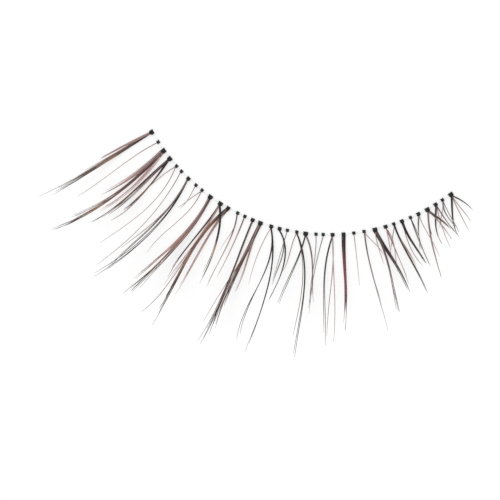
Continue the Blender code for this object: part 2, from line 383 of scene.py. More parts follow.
@dataclass(frozen=True)
class LidLine:
    """The arc that the thread follows, and the curled sheet that the lashes lie in.

    Attributes:
        length: length of the arc from the first knot to the last.
        turn: angle that the arc turns through.
        thread_radius: radius of the thread.
        thread_height: height of its centre line over the table.
        hole_radius: radius of the hole through a knot.
        belly_distance: how far in front of the thread the sheet is lowest.
        belly_height: height of the sheet there.
        curl_radius: radius of the upward curl beyond it.
        weave_rise: how steeply each lock climbs over the next one.
        level_sweep_outer: slope of the weave's level lines at the outer corner.
        level_sweep_inner: the same at the inner corner.
    """

    length: float = 0.0320
    turn: float = math.radians(97.0)
    thread_radius: float = 0.00007
    thread_height: float = 0.00015
    hole_radius: float = 0.00009
    belly_distance: float = 0.0024
    belly_height: float = 0.000055
    curl_radius: float = 0.0120
    weave_rise: float = 0.1488
    level_sweep_outer: float = 0.10
    level_sweep_inner: float = 0.70

    @property
    def radius(self) -> float:
        """Return the radius of the arc."""
        return self.length / self.turn

    def angle(self, place: float) -> float:
        """Return the angle round the arc's centre at a share of the thread, 0 at its middle."""
        return (place - 0.5) * self.turn

    def point(self, angle: float) -> Vector:
        """Return the plan position of the thread's centre line at an angle."""
        return Vector((math.sin(angle), 1.0 - math.cos(angle))) * self.radius

    def frame_at(self, angle: float) -> Matrix:
        """Return the frame on the table at an angle: X along the thread, -Y outwards, Z up."""
        return Matrix.Translation(self.point(angle).to_3d()) @ Matrix.Rotation(angle, 4, "Z")

    def values(self) -> dict[str, float]:
        """Work out the sizes that the hair recipe asks for.

        Returns:
            The value of each input, by name.
        """
        return {
            "Arc Radius": self.radius,
            "Arc Turn": self.turn,
            "Thread Height": self.thread_height,
            "Belly Distance": self.belly_distance,
            "Belly Height": self.belly_height,
            "Curl Radius": self.curl_radius,
            "Weave Rise": self.weave_rise,
            "Outer Sweep": self.level_sweep_outer,
            "Inner Sweep": self.level_sweep_inner,
        }


class Tone(Enum):
    """The colours that the hair is dyed in."""

    BLACK = "black"
    BROWN = "brown"
    AUBURN = "auburn"
    PLUM = "plum"
    FAWN = "fawn"
    GREY = "grey"


@dataclass(frozen=True)
class HairFinish:
    """Dyed hair: dark at the knot, its own colours further out, and dark again at the tip.

    Attributes:
        tone: name of the dye.
        root: colour beside the knot.
        near: colour of the first half.
        far: colour of the second half.
        tip: colour at the tip.
        dark_share: share of the hairs that are nearly black all the way.
        stops: where along a hair the root, near, far and tip colours are.
        patch_shift: how far soft patches move the colours along the hair.
        hair_shift: how far the colours move from hair to hair.
        dark: colour of the nearly black hairs.
        dark_edge: how sharply the nearly black hairs are told from the dyed ones.
        knot: colour of the winding.
        pale: colour of bleached hair.
        tan: colour of worn dye.
        worn_length: share of a hair that a worn spot reaches to each side.
        worn_switch: what a spot's place is multiplied by, so that only a place of 0 leaves it off.
        worn_gain: how strongly the hairs of a strand differ in wear.
        worn_start: how much of that wear is left off.
        shine_low: darkest shade of the grain.
        shine_range: from the darkest shade of the grain to its lightest.
        roughness: roughness of the hair.
        roughness_shift: how far the grain changes it.
        specular: strength of the gloss.
        refraction: index of refraction.
        patch_scale: scale of the soft patches.
        grain_scale: scale of the grain.
        grain_depth: height of the grain.
        grain_strength: share of that height that shows.
    """

    tone: Tone
    root: Colour
    near: Colour
    far: Colour
    tip: Colour
    dark_share: float
    stops: tuple[float, float, float, float] = (0.10, 0.34, 0.62, 0.98)
    patch_shift: float = 0.30
    hair_shift: float = 0.16
    dark: Colour = (0.014, 0.011, 0.011)
    dark_edge: float = 12.0
    knot: Colour = (0.008, 0.007, 0.007)
    pale: Colour = (0.50, 0.32, 0.30)
    tan: Colour = (0.40, 0.23, 0.13)
    worn_length: float = 0.12
    worn_switch: float = 100.0
    worn_gain: float = 3.0
    worn_start: float = 0.6
    shine_low: float = 0.80
    shine_range: float = 0.40
    roughness: float = 0.42
    roughness_shift: float = 0.22
    specular: float = 0.30
    refraction: float = 1.55
    patch_scale: float = 420.0
    grain_scale: float = 9000.0
    grain_depth: float = 0.000003
    grain_strength: float = 0.5

    @property
    def slot(self) -> str:
        """Return the name of the record's material slot."""
        return f"hair_{self.tone.value}"

    def material(self) -> bpy.types.Material:
        """Build the material.

        Returns:
            The material, which reads what the mesh keeps of each hair.
        """
        paint = Paint(f"{self.tone.value}_dyed_hair")
        patch, grain = paint.noise(self.patch_scale), paint.noise(self.grain_scale)
        shine = paint.grey(self.shine_low + grain * self.shine_range)
        bump = {"Strength": self.grain_strength, "Distance": self.grain_depth, "Height": grain}
        return paint.finish(
            {
                "Base Color": self.colour(paint, patch).vector_math("MULTIPLY", shine),
                "Roughness": self.roughness + (grain - 0.5) * self.roughness_shift,
                "Normal": paint.node("ShaderNodeBump", inputs=bump),
                "IOR": self.refraction,
                "Specular IOR Level": self.specular,
            }
        )

    def colour(self, paint: Paint, patch: Signal) -> Signal:
        """Work out the dye's colour.

        Args:
            paint: the material.
            patch: soft noise from 0 to 1.

        Returns:
            The colour at each point of each hair, and of the knot.
        """
        names = ("along", "hair", "paleness", "worn", "knot")
        along, hair, paleness, worn, knot = (paint.attribute(name) for name in names)
        stops = list(zip(self.stops, (self.root, self.near, self.far, self.tip)))
        shifted = along + (patch - 0.5) * self.patch_shift + (hair - 0.5) * self.hair_shift
        colour = paint.node("ShaderNodeValToRGB", {"stops": stops}, {"Fac": shifted})
        darkened = ((self.dark_share - hair) * self.dark_edge + 0.5).limited()
        colour = paint.mix(darkened, colour, self.dark)
        spot = (1.0 - ((along - worn) / self.worn_length) ** 2.0).limited()
        wear = (hair * self.worn_gain - self.worn_start).limited()
        tanned = spot * (worn * self.worn_switch).limited() * wear
        colour = paint.mix(tanned, colour, self.tan)
        colour = paint.mix(paleness, colour, self.pale)
        return paint.mix(knot, colour, self.knot)


FINISHES = {
    finish.tone: finish
    for finish in (
        HairFinish(
            Tone.BLACK,
            root=(0.012, 0.010, 0.010),
            near=(0.030, 0.022, 0.020),
            far=(0.075, 0.055, 0.046),
            tip=(0.050, 0.042, 0.040),
            dark_share=0.55,
        ),
        HairFinish(
            Tone.BROWN,
            root=(0.016, 0.010, 0.009),
            near=(0.120, 0.066, 0.042),
            far=(0.190, 0.135, 0.080),
            tip=(0.036, 0.027, 0.024),
            dark_share=0.34,
        ),
        HairFinish(
            Tone.AUBURN,
            root=(0.016, 0.009, 0.009),
            near=(0.115, 0.046, 0.036),
            far=(0.290, 0.165, 0.120),
            tip=(0.040, 0.028, 0.026),
            dark_share=0.38,
        ),
        HairFinish(
            Tone.PLUM,
            root=(0.018, 0.008, 0.011),
            near=(0.130, 0.024, 0.040),
            far=(0.220, 0.058, 0.078),
            tip=(0.140, 0.100, 0.100),
            dark_share=0.08,
        ),
        HairFinish(
            Tone.FAWN,
            root=(0.170, 0.110, 0.090),
            near=(0.380, 0.270, 0.235),
            far=(0.420, 0.320, 0.270),
            tip=(0.240, 0.190, 0.170),
            dark_share=0.0,
        ),
        HairFinish(
            Tone.GREY,
            root=(0.060, 0.050, 0.050),
            near=(0.200, 0.180, 0.175),
            far=(0.270, 0.240, 0.235),
            tip=(0.170, 0.155, 0.150),
            dark_share=0.0,
        ),
    )
}


@dataclass(frozen=True)
class ThreadFinish:
    """Clear nylon, drawn thin, with faint streaks.

    Attributes:
        slot: name of the record's material slot.
        colour: colour of the nylon.
        refraction: index of refraction.
        roughness: roughness of the thread.
        roughness_shift: how far the streaks change it.
        alpha: how much the thread hides of what is behind it.
        alpha_shift: how far the streaks change that.
        streak_scale: scale of the streaks.
    """

    slot: str = "clear_thread"
    colour: Colour = (0.86, 0.87, 0.88)
    refraction: float = 1.53
    roughness: float = 0.18
    roughness_shift: float = 0.12
    alpha: float = 0.45
    alpha_shift: float = 0.20
    streak_scale: float = 3000.0

    def material(self) -> bpy.types.Material:
        """Build the material.

        Returns:
            The material, which lets the table show through.
        """
        paint = Paint("clear_nylon")
        streak = paint.noise(self.streak_scale)
        return paint.finish(
            {
                "Base Color": (*self.colour, 1.0),
                "IOR": self.refraction,
                "Roughness": self.roughness + (streak - 0.5) * self.roughness_shift,
                "Alpha": self.alpha + (streak - 0.5) * self.alpha_shift,
            }
        )


@dataclass(frozen=True)
class TableFinish:
    """Acrylic lit from below, so that it shows as plain white.

    Attributes:
        colour: colour of the sheet.
        glow: strength of the light from below.
        roughness: roughness of the sheet.
        roughness_shift: how far the grain changes it.
        grain_scale: scale of the grain.
    """

    colour: Colour = (0.36, 0.36, 0.36)
    glow: float = 0.61
    roughness: float = 0.85
    roughness_shift: float = 0.10
    grain_scale: float = 400.0

    def material(self) -> bpy.types.Material:
        """Build the material.

        Returns:
            The material.
        """
        paint = Paint("white_acrylic")
        grain = paint.noise(self.grain_scale)
        return paint.finish(
            {
                "Base Color": (*self.colour, 1.0),
                "Emission Color": WHITE,
                "Emission Strength": self.glow,
                "Specular IOR Level": 0.0,
                "Roughness": self.roughness + (grain - 0.5) * self.roughness_shift,
            }
        )


@dataclass(frozen=True)
class KnotSize:
    """Size of a knot.

    Attributes:
        length: length along the thread.
        depth: size from its back to its front.
        height: height over the table.
        turns: times that the hair is wound round the thread.
    """

    length: float
    depth: float
    height: float
    turns: float


class Knot(Enum):
    """The three sizes of knot."""

    BIG = KnotSize(0.00050, 0.00046, 0.00040, 7.5)
    MEDIUM = KnotSize(0.00042, 0.000394, 0.0003552, 6.5)
    SMALL = KnotSize(0.00035, 0.000328, 0.000312, 5.5)


@dataclass(frozen=True)
class Strand:
    """Hairs that leave a knot together and end in one tip.

    Attributes:
        root: direction beside the knot, in degrees from straight out of the thread, positive towards
            the outer corner.
        middle: direction half way along.
        tip: direction at the tip.
        reach: length seen from above, as a share of the longest lash.
        width: width at the root, as a share of the widest.
        hairs: number of hairs.
        paleness: how far the hairs are bleached, from 0 to 1.
        worn: where along the hairs their dye is worn to tan, or 0 for nowhere.
    """

    root: float
    middle: float
    tip: float
    reach: float
    width: float
    hairs: int
    paleness: float = 0.0
    worn: float = 0.0

    def heading(self, share: float) -> float:
        """Return the direction at a share of the length, in radians."""
        bend = 2 * (self.root + self.tip) - 4 * self.middle
        return math.radians(self.root + (self.tip - self.root - bend) * share + bend * share**2)


@dataclass(frozen=True)
class Lock:
    """One knot with its hairs.

    Attributes:
        place: where the knot sits along the thread, from 0 at the outer corner to 1 at the inner one.
        knot: size of the knot.
        tone: colour of the hair.
        strands: the hairs that leave the knot.
    """

    place: float
    knot: Knot
    tone: Tone
    strands: tuple[Strand, ...]


# The locks, from the outer corner to the inner one
LOCKS = (
    Lock(0.000, Knot.BIG, Tone.BROWN, (
        Strand(-3, -3, -3, 0.84, 0.9, 5, 0.0, 0.46),
        Strand(0, -3, 2, 0.92, 0.5, 1, 0.4),
        Strand(1, -2, -2, 0.62, 0.9, 3, 0.3, 0.36),
        Strand(6, 2, -1, 0.42, 1.1, 4, 0.7),
    )),
    Lock(0.034, Knot.SMALL, Tone.FAWN, (Strand(8, -5, 0, 0.70, 0.4, 1),)),
    Lock(0.064, Knot.BIG, Tone.AUBURN, (
        Strand(-11, -2, 14, 0.98, 1.2, 6, 0.0, 0.67),
        Strand(-12, -2, 12, 0.82, 1.3, 4, 0.2, 0.74),
        Strand(-7, 0, 8, 0.55, 1.8, 6, 0.4),
        Strand(-21, -8, 6, 0.64, 1.4, 4, 0.8),
    )),
    Lock(0.093, Knot.BIG, Tone.BROWN, (
        Strand(-18, -11, 0, 0.50, 1.0, 4),
        Strand(-15, -11, 11, 0.62, 0.6, 2, 0.5),
        Strand(-1, -4, 8, 0.73, 1.0, 4),
        Strand(-3, -6, 6, 0.60, 1.0, 3, 0.4),
    )),
    Lock(0.122, Knot.SMALL, Tone.FAWN, (
        Strand(-28, -2, 5, 0.79, 0.5, 1),
        Strand(15, 3, 2, 0.30, 0.4, 1),
    )),
    Lock(0.143, Knot.SMALL, Tone.FAWN, (Strand(-20, -4, 4, 0.91, 0.5, 1),)),
    Lock(0.172, Knot.MEDIUM, Tone.BLACK, (
        Strand(-20, 1, 13, 0.98, 0.7, 3),
        Strand(-17, 1, 0, 0.86, 0.7, 2, 0.1),
        Strand(-18, 2, 6, 0.70, 0.5, 1, 0.4),
    )),
    Lock(0.201, Knot.SMALL, Tone.FAWN, (Strand(-14, -8, 8, 0.20, 0.4, 1),)),
    Lock(0.224, Knot.SMALL, Tone.FAWN, (
        Strand(-18, 10, -8, 0.60, 0.5, 1),
        Strand(22, 14, 16, 0.21, 0.4, 1),
    )),
    Lock(0.255, Knot.BIG, Tone.AUBURN, (
        Strand(-11, 6, 5, 0.89, 1.1, 5),
        Strand(-10, 10, 11, 0.81, 1.3, 5, 0.6),
        Strand(-9, 7, 13, 0.93, 0.5, 2),
        Strand(-8, 4, 6, 0.66, 1.4, 4, 0.5),
    )),
    Lock(0.290, Knot.BIG, Tone.BLACK, (
        Strand(1, 6, -6, 0.65, 0.8, 3, 0.1),
        Strand(-40, -15, -3, 0.60, 0.9, 4, 0.0, 0.56),
        Strand(-4, 4, -2, 0.72, 0.6, 2, 0.8),
    )),
    Lock(0.316, Knot.MEDIUM, Tone.AUBURN, (
        Strand(25, 0, 0, 0.89, 1.4, 6, 0.0, 0.27),
        Strand(22, -1, -1, 1.00, 0.6, 2),
        Strand(26, 3, 22, 0.97, 0.5, 1),
        Strand(12, -1, 5, 0.73, 1.0, 3, 0.6),
        Strand(24, 2, -2, 0.78, 1.4, 5, 0.1, 0.22),
    )),
    Lock(0.347, Knot.SMALL, Tone.FAWN, (
        Strand(-30, 6, -3, 0.30, 0.5, 1),
        Strand(-20, 1, -5, 0.58, 0.6, 2),
    )),
    Lock(0.370, Knot.SMALL, Tone.FAWN, (Strand(-4, 0, 4, 0.48, 0.6, 2),)),
    Lock(0.395, Knot.MEDIUM, Tone.BLACK, (
        Strand(1, 0, 10, 0.96, 0.8, 3),
        Strand(0, 0, 6, 0.84, 0.8, 2, 0.3),
    )),
    Lock(0.419, Knot.BIG, Tone.BROWN, (
        Strand(5, 7, -4, 0.82, 1.3, 5, 0.1, 0.74),
        Strand(8, -4, 10, 0.53, 1.0, 3, 0.6),
        Strand(5, 13, 11, 0.82, 0.5, 1, 0.6),
        Strand(6, 7, 2, 0.88, 0.8, 2),
        Strand(7, 5, 2, 0.66, 1.4, 4, 0.3, 0.55),
    )),
    Lock(0.452, Knot.MEDIUM, Tone.BLACK, (
        Strand(16, 5, -1, 0.45, 0.6, 1, 0.7),
        Strand(-30, 10, -12, 0.86, 0.7, 2),
        Strand(-27, -2, 5, 0.93, 0.7, 3),
    )),
    Lock(0.477, Knot.MEDIUM, Tone.BLACK, (
        Strand(-50, 2, -1, 0.42, 0.6, 2, 0.2),
        Strand(-48, 1, 13, 0.55, 0.7, 2),
    )),
    Lock(0.500, Knot.SMALL, Tone.GREY, (Strand(6, 4, 2, 0.38, 0.4, 1),)),
    Lock(0.528, Knot.SMALL, Tone.BLACK, (
        Strand(19, 6, 24, 0.30, 0.5, 1, 0.4),
        Strand(-33, -3, -1, 0.91, 0.7, 2),
        Strand(-30, -4, 4, 0.76, 0.5, 1, 0.3),
    )),
    Lock(0.554, Knot.BIG, Tone.BLACK, (
        Strand(6, 18, 13, 0.54, 0.7, 2),
        Strand(-34, -8, -14, 0.50, 0.8, 2, 0.2),
        Strand(-30, -6, 0, 0.58, 0.6, 1, 0.5),
    )),
    Lock(0.584, Knot.SMALL, Tone.GREY, (Strand(-6, 5, -6, 0.52, 0.4, 1),)),
    Lock(0.605, Knot.SMALL, Tone.GREY, (Strand(15, 10, 8, 0.54, 0.4, 1),)),
    Lock(0.632, Knot.MEDIUM, Tone.BLACK, (
        Strand(22, 2, 4, 0.80, 0.7, 2),
        Strand(-4, 7, 4, 0.73, 0.4, 1, 0.5),
        Strand(1, -1, 8, 0.77, 0.4, 1, 0.6),
    )),
    Lock(0.664, Knot.MEDIUM, Tone.PLUM, (
        Strand(5, 2, 10, 0.56, 1.5, 6),
        Strand(3, 3, 12, 0.70, 1.0, 3, 0.2),
    )),
    Lock(0.694, Knot.SMALL, Tone.FAWN, (Strand(0, 2, 4, 0.38, 0.4, 1),)),
    Lock(0.724, Knot.SMALL, Tone.GREY, (
        Strand(5, -5, -4, 0.57, 0.7, 2),
        Strand(5, -5, -1, 0.74, 0.4, 1, 0.3),
        Strand(-30, -34, -20, 0.22, 0.4, 1, 0.5),
    )),
    Lock(0.756, Knot.BIG, Tone.BLACK, (
        Strand(-17, 1, 1, 0.62, 0.9, 4, 0.2),
        Strand(-15, -18, -3, 0.51, 1.4, 6),
        Strand(10, -4, 0, 0.25, 0.4, 1, 0.6),
    )),
    Lock(0.788, Knot.MEDIUM, Tone.BLACK, (
        Strand(-26, 8, 7, 0.34, 0.5, 1, 0.6),
        Strand(-8, -6, -2, 0.44, 0.6, 2, 0.6),
        Strand(2, 6, 12, 0.22, 0.4, 1, 0.6),
    )),
    Lock(0.813, Knot.SMALL, Tone.BLACK, (
        Strand(0, -10, 0, 0.55, 0.7, 3),
        Strand(2, -14, -4, 0.34, 0.8, 2, 0.6),
        Strand(26, 26, 26, 0.18, 0.5, 1, 0.3),
    )),
    Lock(0.838, Knot.MEDIUM, Tone.BLACK, (
        Strand(3, -11, -9, 0.35, 1.0, 6),
        Strand(9, -3, -24, 0.36, 0.5, 1, 0.4),
    )),
    Lock(0.865, Knot.SMALL, Tone.GREY, (
        Strand(-1, 3, 25, 0.24, 0.4, 1),
        Strand(5, 2, 0, 0.38, 0.6, 2),
    )),
    Lock(0.890, Knot.MEDIUM, Tone.GREY, (
        Strand(34, 22, 24, 0.26, 0.7, 2),
        Strand(8, -4, 6, 0.34, 0.5, 1, 0.4),
    )),
    Lock(0.919, Knot.BIG, Tone.BLACK, (
        Strand(29, 16, 14, 0.50, 0.8, 3, 0.5),
        Strand(29, 20, 4, 0.18, 0.8, 3),
        Strand(-24, -24, -8, 0.21, 0.9, 3, 0.1),
        Strand(-20, -10, -4, 0.27, 0.7, 2, 0.6),
    )),
    Lock(0.947, Knot.MEDIUM, Tone.BLACK, (
        Strand(35, 27, -6, 0.29, 0.8, 3, 0.1),
        Strand(0, -4, -16, 0.27, 0.6, 2, 0.2),
        Strand(20, 14, 10, 0.33, 0.5, 1, 0.6),
    )),
    Lock(0.971, Knot.SMALL, Tone.GREY, (
        Strand(42, 2, -8, 0.22, 0.7, 2),
        Strand(14, 4, 8, 0.26, 0.5, 1),
        Strand(30, 44, 34, 0.20, 0.4, 1, 0.4),
    )),
    Lock(1.000, Knot.BIG, Tone.BLACK, (
        Strand(-32, -19, 0, 0.19, 0.7, 2),
        Strand(33, 31, 4, 0.31, 0.9, 4),
        Strand(16, 10, 11, 0.29, 0.5, 1, 0.4),
        Strand(4, 0, 8, 0.24, 0.4, 1, 0.6),
    )),
)


class HairRecipe(Recipe):
    """Turns flat guide lines into bundles of fine curled hairs.

    Attributes:
        side_jitter: how far a hair may leave its even place beside the others, in places.
        draw_step: what is added to the seed for each further draw.
        spare_points: points of a hair beyond those that its length gives.
        wave_spread: how far apart in the noise the waves of two hairs are read.
        wave_rate: waves of a hair for each metre.
        thinnest: thickness of the thinnest hair, as a share.
        thickness_range: from the thinnest hair to the thickest.
        taper: share of the thickness that is lost at the tip.
        taper_power: how late along the hair it is lost.
        sides: number of sides of a hair.
    """

    side_jitter: float = 0.3
    draw_step: float = 100.0
    spare_points: float = 4.0
    wave_spread: float = 900.0
    wave_rate: float = 260.0
    thinnest: float = 0.85
    thickness_range: float = 0.30
    taper: float = 0.7
    taper_power: float = 4.0
    sides: int = 6

    def __init__(self) -> None:
        """Build the tree."""
        super().__init__("hair_bundles")
        self.seed = self.ask("Seed", "NodeSocketInt")
        hairs = self.multiply(self.node("GeometryNodeMeshToCurve", inputs={"Mesh": self.source}))
        hairs = self.trim(hairs)
        hairs = self.spread(hairs)
        hairs = self.curl(hairs)
        self.close(self.skin(hairs))

    def multiply(self, guides: Signal) -> Signal:
        """Repeat each guide once for each of its hairs, and draw what makes the hairs differ.

        Args:
            guides: one curve for each strand, from root to tip.

        Returns:
            One curve for each hair.
        """
        count = self.kept("hairs")
        settings = {"domain": "SPLINE"}
        inputs = {"Geometry": guides, "Amount": count}
        copies = self.node("GeometryNodeDuplicateElements", settings, inputs)
        order = copies.output("Duplicate Index")
        number = self.node("GeometryNodeInputIndex")
        hairs = self.keep(copies, "order", order, "CURVE")
        length = self.node("GeometryNodeSplineLength").output("Length")
        hairs = self.keep(hairs, "guide_length", length, "CURVE")
        jitter = self.chance(-self.side_jitter, self.side_jitter, number, self.seed)
        across = (self.kept("order") + 0.5 + jitter) / count * 2.0 - 1.0
        for draw, name in enumerate(("hair", "bend", "lift", "cut"), start=1):
            value = self.chance(0.0, 1.0, number, self.seed + self.draw_step * draw)
            hairs = self.keep(hairs, name, value, "CURVE")
        return self.keep(hairs, "across", across, "CURVE")

    def trim(self, hairs: Signal) -> Signal:
        """Cut all the hairs of a strand but the first to their own lengths, and space their points.

        Args:
            hairs: one curve for each hair.

        Returns:
            The curves with even points.
        """
        not_first = self.kept("order").math("MINIMUM", 1.0)
        shorter = self.ask("Length Spread") * self.kept("cut") * not_first
        inputs = {"Curve": hairs, "End": 1.0 - shorter}
        trimmed = self.node("GeometryNodeTrimCurve", {"mode": "FACTOR"}, inputs)
        length = self.node("GeometryNodeSplineLength").output("Length")
        inputs = {"Curve": trimmed, "Count": length / self.ask("Point Step") + self.spare_points}
        return self.node("GeometryNodeResampleCurve", {"mode": "COUNT"}, inputs)

    def spread(self, hairs: Signal) -> Signal:
        """Set the hairs side by side in plan, and let each stray a little more towards its tip.

        Args:
            hairs: the curves, still one on another.

        Returns:
            The curves side by side.
        """
        distance = self.node("GeometryNodeSplineParameter").output("Length")
        share = distance / self.kept("guide_length")
        tangent = self.node("GeometryNodeInputTangent")
        upwards = Vector((0.0, 0.0, 1.0))
        sideways = tangent.vector_math("CROSS_PRODUCT", upwards).vector_math("NORMALIZE")
        bend = (self.kept("bend") * 2.0 - 1.0) * self.ask("Stray") * distance * share
        inputs = {0: self.kept("hair") * self.wave_spread, 1: distance * self.wave_rate}
        wander = self.node("ShaderNodeCombineXYZ", inputs=inputs)
        inputs = {"Vector": wander, "Scale": 1.0, "Detail": 1.0}
        wave = self.node("ShaderNodeTexNoise", inputs=inputs)
        across = self.kept("across") * self.kept("half_width") * (1.0 - share * self.ask("Gather"))
        offset = across + bend + (wave - 0.5) * self.ask("Wave") * share
        hairs = self.keep(hairs, "along", share, "POINT")
        inputs = {"Geometry": hairs, "Offset": sideways.scaled(offset)}
        return self.node("GeometryNodeSetPosition", inputs=inputs)

    def curl(self, hairs: Signal) -> Signal:
        """Raise every point to the curled sheet, each lock over the next one where they cross.

        Args:
            hairs: the curves, still flat.

        Returns:
            The curled curves.
        """
        place = self.node("GeometryNodeInputPosition")
        x, y = place.part("X"), place.part("Y") - self.ask("Arc Radius")
        radius = self.ask("Arc Radius")
        angle = x.math("ARCTAN2", -1.0 * y)
        out = (x**2.0 + y**2.0).math("SQRT") - radius
        outer, inner = self.ask("Outer Sweep"), self.ask("Inner Sweep")
        sweep = outer + (inner - outer) * (angle / self.ask("Arc Turn") + 0.5)
        weave = self.ask("Weave Rise") * (radius * (angle - self.ask("Knot Angle")) + sweep * out)
        loose = self.ask("Root Lift") + self.ask("Tip Lift") * self.kept("along") ** 2.0
        height = self.sheet(out) + weave + self.kept("lift") * loose
        inputs = {"X": place.part("X"), "Y": place.part("Y"), "Z": height}
        raised = self.node("ShaderNodeCombineXYZ", inputs=inputs)
        return self.node("GeometryNodeSetPosition", inputs={"Geometry": hairs, "Position": raised})

    def sheet(self, out: Signal) -> Signal:
        """Work out the height of the curled sheet.

        Args:
            out: distance out from the thread, in plan.

        Returns:
            The height over the table.
        """
        belly, low, bend = self.ask("Belly Distance"), self.ask("Belly Height"), self.ask("Curl Radius")
        near = (belly - out).math("MAXIMUM", 0.0) / belly
        far = (out - belly).math("MAXIMUM", 0.0)
        dip = (self.ask("Thread Height") - low) * near**2.0
        return low + dip + far**2.0 / (bend * 2.0) + far**4.0 / (bend**3.0 * 8.0)

    def skin(self, hairs: Signal) -> Signal:
        """Give every hair its round, tapered body.

        Args:
            hairs: the curled curves.

        Returns:
            The hairs as closed tubes.
        """
        end = self.node("GeometryNodeSplineParameter").output("Factor")
        share = self.thinnest + self.kept("hair") * self.thickness_range
        thickness = self.ask("Hair Radius") * share
        return self.sweep(hairs, thickness * (1.0 - end**self.taper_power * self.taper), self.sides)


@dataclass
class LashLock:
    """One lock of the strip: hairs wound round the thread in a knot and left long in front.

    Attributes:
        number: number of the lock, from the outer corner.
        lock: what the chart says of it.
        line: the arc that it sits on.
        lash_length: length of the longest lash, seen from above.
        strand_width: width of the widest strand at its root.
        root_share: where in the front half of the knot the strands start.
        hair_radius: radius of a hair.
        guide_steps: steps of a strand's centre line.
        core_sides: points of a ring of the knot's core.
        core_stations: rings of the core's outside.
    """

    number: int
    lock: Lock
    line: LidLine
    lash_length: float = 0.0126
    strand_width: float = 0.00030
    root_share: float = 0.4
    hair_radius: float = 0.000036
    guide_steps: int = 24
    core_sides: int = 16
    core_stations: int = 9

    @property
    def angle(self) -> float:
        """Return where the knot sits round the arc."""
        return self.line.angle(self.lock.place)

    def build(
        self, hair_recipe: Recipe, knot_recipe: Recipe, material: bpy.types.Material
    ) -> bpy.types.Object:
        """Make the lock as one object.

        Args:
            hair_recipe: makes the hairs.
            knot_recipe: makes the winding of the knot.
            material: the hair's material.

        Returns:
            The finished object.
        """
        dress = {"Material": material}
        hairs = hair_recipe.make(self.guides(), self.line.values() | self.hair_values() | dress)
        winding = knot_recipe.make(bpy.data.meshes.new("winding"), self.knot_values() | dress)
        core = self.core(material)
        for mesh in (winding, core):
            mesh.transform(self.line.frame_at(self.angle))
        return join_meshes(f"hair_lock_{self.number:02d}", [hairs, winding, core])

    def hair_values(self) -> dict[str, float | int]:
        """Work out the inputs of the hair recipe that belong to this lock.

        Returns:
            The value of each input, by name.
        """
        return {
            "Seed": self.number,
            "Knot Angle": self.angle,
            "Length Spread": 0.13,
            "Point Step": 0.0005,
            "Stray": 0.017,
            "Gather": 0.72,
            "Wave": 0.00016,
            "Root Lift": 0.000080,
            "Tip Lift": 0.000120,
            "Hair Radius": self.hair_radius,
        }

    def knot_values(self) -> dict[str, float]:
        """Work out the inputs of the knot recipe.

        Returns:
            The value of each input, by name.
        """
        size = self.lock.knot.value
        return {
            "Turns": size.turns,
            "Length": size.length - 2 * self.hair_radius,
            "Depth": size.depth,
            "Height": size.height,
            "Hole Radius": self.line.hole_radius,
            "Thread Height": self.line.thread_height,
            "Hair Radius": self.hair_radius,
        }

    def guides(self) -> bpy.types.Mesh:
        """Draw one flat line for each strand, from inside the knot to its tip.

        Returns:
            A mesh of lines that carries what the chart says of each strand.
        """
        points: list[Vector] = []
        edges: list[tuple[int, int]] = []
        marks: list[tuple[float, float, float, float]] = []
        for strand in self.lock.strands:
            first = len(points)
            route = self.route(strand)
            points += route
            edges += [(first + step, first + step + 1) for step in range(self.guide_steps)]
            half_width = max(self.strand_width * strand.width / 2 - self.hair_radius, 0.0)
            marks += [(strand.hairs, half_width, strand.paleness, strand.worn)] * len(route)
        mesh = bpy.data.meshes.new("guides")
        mesh.from_pydata(points, edges, [])
        for name, column in zip(("hairs", "half_width", "paleness", "worn"), zip(*marks)):
            mesh.attributes.new(name, "FLOAT", "POINT").data.foreach_set("value", column)
        return mesh

    def route(self, strand: Strand) -> list[Vector]:
        """Draw the flat centre line of a strand.

        Args:
            strand: what the chart says of it.

        Returns:
            The points, from inside the knot to the tip.
        """
        along_band = Vector((math.cos(self.angle), math.sin(self.angle)))
        outwards = Vector((math.sin(self.angle), -math.cos(self.angle)))
        back = self.line.thread_height + self.line.hole_radius
        root = self.line.hole_radius + self.root_share * (self.lock.knot.value.depth - back)
        step = strand.reach * self.lash_length / self.guide_steps
        plan = self.line.point(self.angle) + outwards * root
        points = [plan.to_3d()]
        for index in range(self.guide_steps):
            heading = strand.heading((index + 0.5) / self.guide_steps)
            plan += (outwards * math.cos(heading) - along_band * math.sin(heading)) * step
            points.append(plan.to_3d())
        return points

    def core(self, material: bpy.types.Material) -> bpy.types.Mesh:
        """Fill the knot under its winding, with a hole for the thread.

        Args:
            material: the hair's material.

        Returns:
            The core at the origin, along X.
        """
        shape = bmesh.new()
        last = self.core_stations - 1
        rings = [self.core_ring(shape, station / last) for station in range(self.core_stations)]
        rings += [self.core_ring(shape, share, hole=True) for share in (1.0, 0.0)]
        for ring, after in zip(rings, rings[1:] + rings[:1]):
            for side in range(self.core_sides):
                beside = (side + 1) % self.core_sides
                shape.faces.new((ring[side], ring[beside], after[beside], after[side]))
        bmesh.ops.recalc_face_normals(shape, faces=shape.faces)
        mesh = bpy.data.meshes.new("core")
        shape.to_mesh(mesh)
        shape.free()
        knot = mesh.attributes.new("knot", "FLOAT", "POINT")
        knot.data.foreach_set("value", [1.0] * len(mesh.vertices))
        mesh.materials.append(material)
        mesh.shade_smooth()
        return mesh

